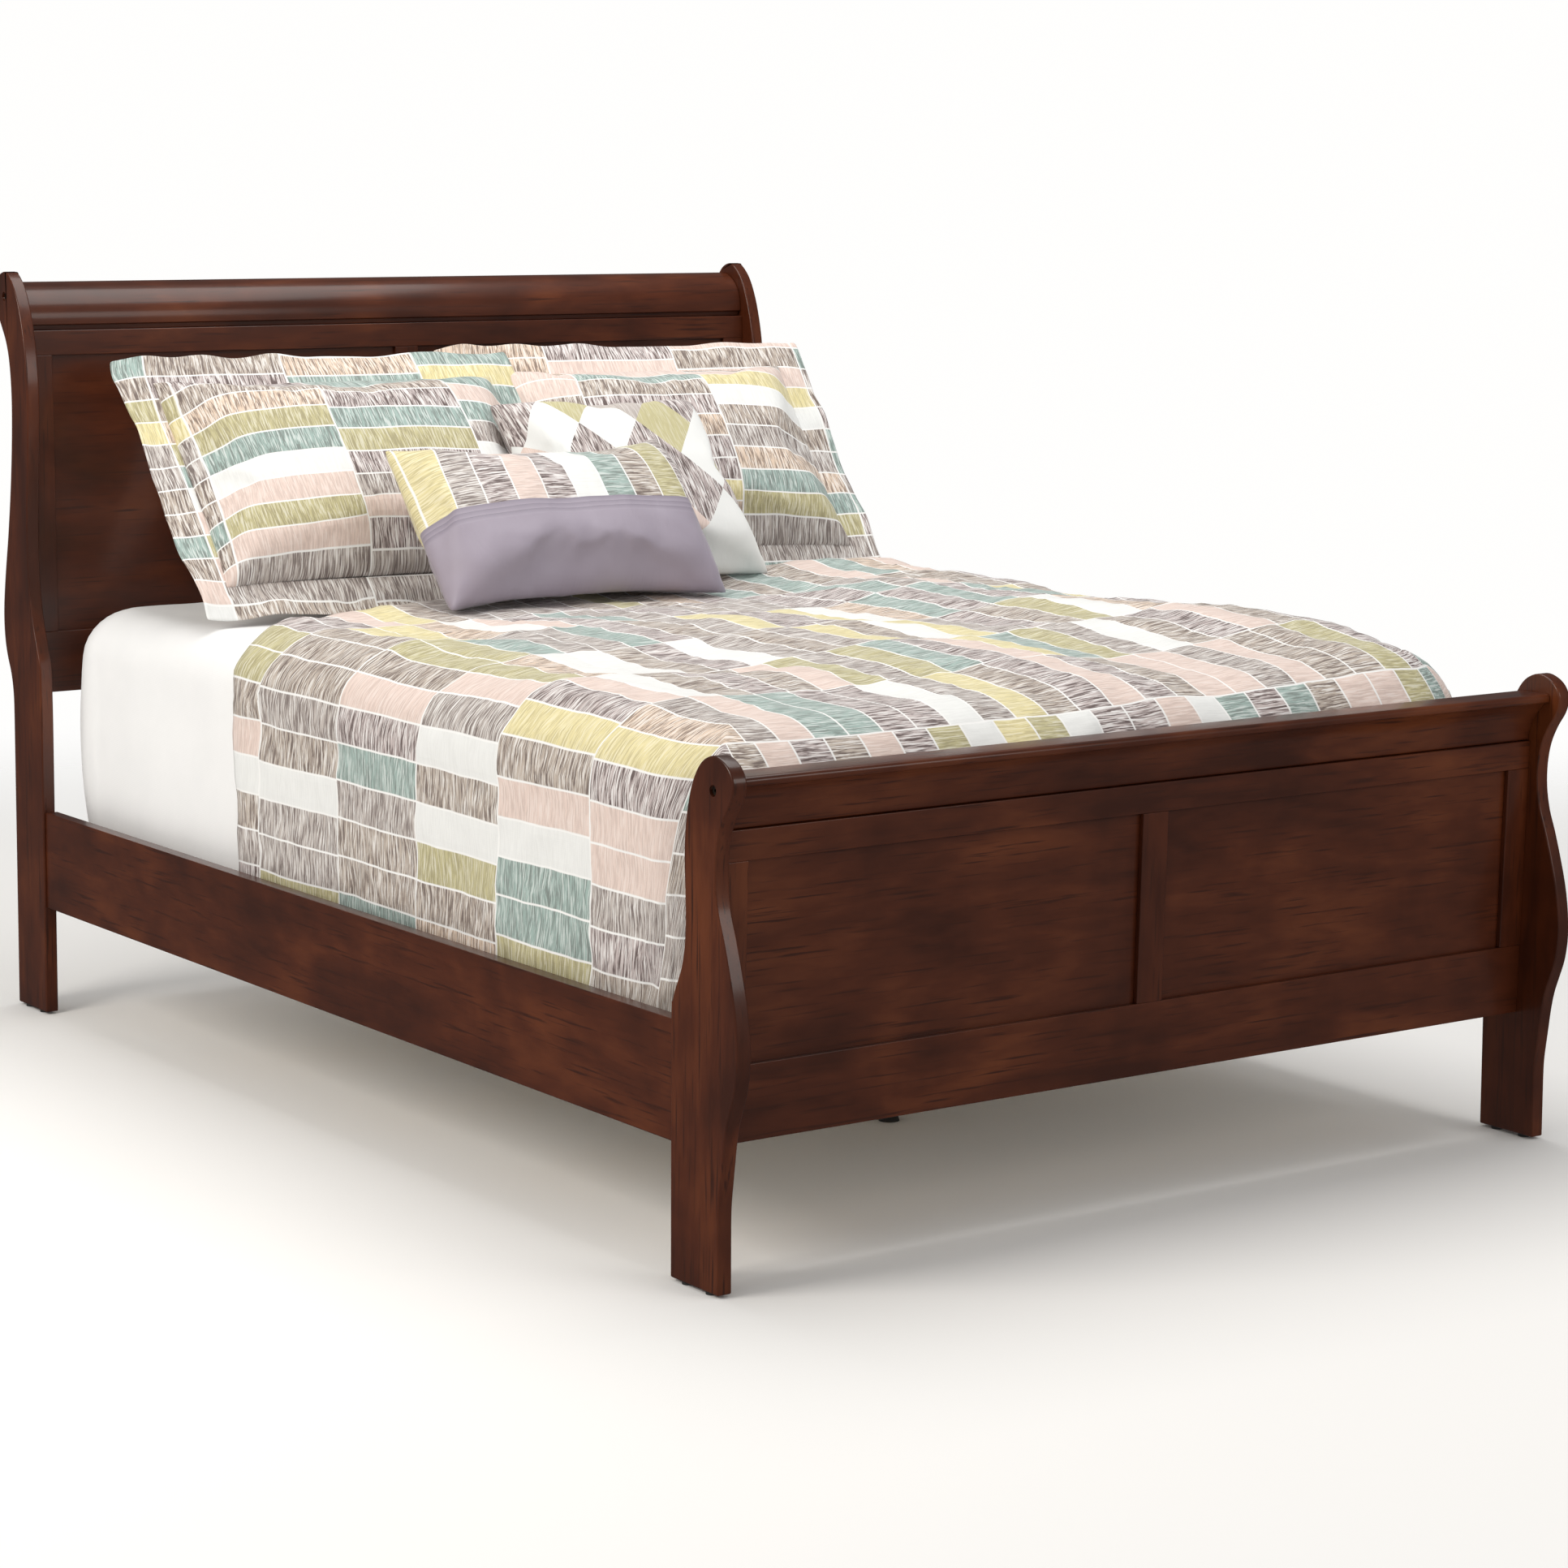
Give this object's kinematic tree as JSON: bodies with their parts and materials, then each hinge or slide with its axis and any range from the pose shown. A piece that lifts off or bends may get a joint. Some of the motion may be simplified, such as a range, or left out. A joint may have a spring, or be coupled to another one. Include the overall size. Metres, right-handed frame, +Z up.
{
  "type": "sleigh bed",
  "caption": "Full-size sleigh bed with scrolled posts, panelled head and foot, hook-on rails, slats, foundation, mattress, comforter, shams and cushions.",
  "frame": {"origin": "on the floor, at the middle of the bed's length and width", "axes": "+X to the right as seen from the foot, +Y towards the headboard, +Z up"},
  "size_m": [1.475, 2.2262, 1.238],
  "materials": {
    "cherry_wood": "dark cherry stain under gloss lacquer",
    "pale_wood": "planed, unfinished pine",
    "zinc_steel": "zinc plated",
    "bronzed_bolt": "dark bronzed",
    "brass": "turned",
    "glide_nylon": "moulded nylon",
    "foot_plastic": "moulded over a zinc plated stem",
    "foundation_ticking": "woven ticking",
    "mattress_ticking": "quilted ticking",
    "white_cotton": "plain white sateen",
    "patchwork_cotton": "printed brick patchwork on cotton",
    "hexagon_cotton": "printed patches on white cotton",
    "lavender_cotton": "lavender-grey cotton sateen with printed strips"
  },
  "bodies": {
    "bed_frame": {"head_post_left": "cherry_wood", "head_post_right": "cherry_wood", "headboard_roll": "cherry_wood", "headboard_top_rail": "cherry_wood", "headboard_bottom_rail": "cherry_wood", "headboard_stile_left": "cherry_wood", "headboard_stile_right": "cherry_wood", "headboard_centre_stile": "cherry_wood", "headboard_panel_left": "cherry_wood", "headboard_panel_right": "cherry_wood", "foot_post_left": "cherry_wood", "foot_post_right": "cherry_wood", "footboard_cap": "cherry_wood", "footboard_top_rail": "cherry_wood", "footboard_bottom_rail": "cherry_wood", "footboard_stile_left": "cherry_wood", "footboard_stile_right": "cherry_wood", "footboard_centre_stile": "cherry_wood", "footboard_panel_left": "cherry_wood", "footboard_panel_right": "cherry_wood", "frame_dowels": "pale_wood", "scroll_bolts": "bronzed_bolt", "scroll_inserts": "brass", "floor_glides": "glide_nylon", "side_rail_left": "cherry_wood", "side_rail_right": "cherry_wood", "ledger_left": "pale_wood", "ledger_right": "pale_wood", "rail_hook_plates": "zinc_steel", "post_slot_plates": "zinc_steel", "hook_screws": "zinc_steel", "slats": "pale_wood", "slat_screws": "zinc_steel", "support_leg_foot": "pale_wood", "support_leg_middle": "pale_wood", "support_leg_head": "pale_wood", "support_inserts": "brass", "support_screws": "zinc_steel"},
    "foundation": {"foundation": "foundation_ticking"},
    "mattress": {"mattress": "mattress_ticking", "sheet": "white_cotton", "comforter": "patchwork_cotton"},
    "sleeping_pillow_left": {"sleeping_pillow_left": "white_cotton"},
    "sleeping_pillow_right": {"sleeping_pillow_right": "white_cotton"},
    "sham_left": {"sham_left": "patchwork_cotton"},
    "sham_right": {"sham_right": "patchwork_cotton"},
    "square_cushion": {"square_cushion": "hexagon_cotton"},
    "oblong_cushion": {"oblong_cushion": "lavender_cotton"},
    "levelling_foot_foot": {"levelling_foot_foot": "foot_plastic"},
    "levelling_foot_middle": {"levelling_foot_middle": "foot_plastic"},
    "levelling_foot_head": {"levelling_foot_head": "foot_plastic"}
  },
  "joints": [
    {"name": "levelling_foot_foot_screw", "type": "slide", "parent": "bed_frame", "child": "levelling_foot_foot", "axis": [0, 0, -1], "range_m": [0, 0.015]},
    {"name": "levelling_foot_middle_screw", "type": "slide", "parent": "bed_frame", "child": "levelling_foot_middle", "axis": [0, 0, -1], "range_m": [0, 0.015]},
    {"name": "levelling_foot_head_screw", "type": "slide", "parent": "bed_frame", "child": "levelling_foot_head", "axis": [0, 0, -1], "range_m": [0, 0.015]},
    {"name": "foundation_lift", "type": "slide", "parent": "bed_frame", "child": "foundation", "axis": [0, 0, 1], "range_m": [0, 0.3]},
    {"name": "mattress_lift", "type": "slide", "parent": "foundation", "child": "mattress", "axis": [0, 0, 1], "range_m": [0, 0.3]},
    {"name": "sleeping_pillow_left_lift", "type": "slide", "parent": "mattress", "child": "sleeping_pillow_left", "axis": [0, 0.5736, 0.8192], "range_m": [0, 0.05]},
    {"name": "sleeping_pillow_right_lift", "type": "slide", "parent": "mattress", "child": "sleeping_pillow_right", "axis": [0, 0.5736, 0.8192], "range_m": [0, 0.05]},
    {"name": "sham_left_lift", "type": "slide", "parent": "mattress", "child": "sham_left", "axis": [0.0493, 0.7054, 0.7071], "range_m": [0, 0.1]},
    {"name": "sham_right_lift", "type": "slide", "parent": "mattress", "child": "sham_right", "axis": [0.0949, 0.6754, 0.7314], "range_m": [0, 0.08]},
    {"name": "square_cushion_lift", "type": "slide", "parent": "mattress", "child": "square_cushion", "axis": [0, 0.6691, 0.7431], "range_m": [0, 0.12]},
    {"name": "oblong_cushion_lift", "type": "slide", "parent": "mattress", "child": "oblong_cushion", "axis": [0, -0.7431, 0.6691], "range_m": [0, 0.25]}
  ]
}
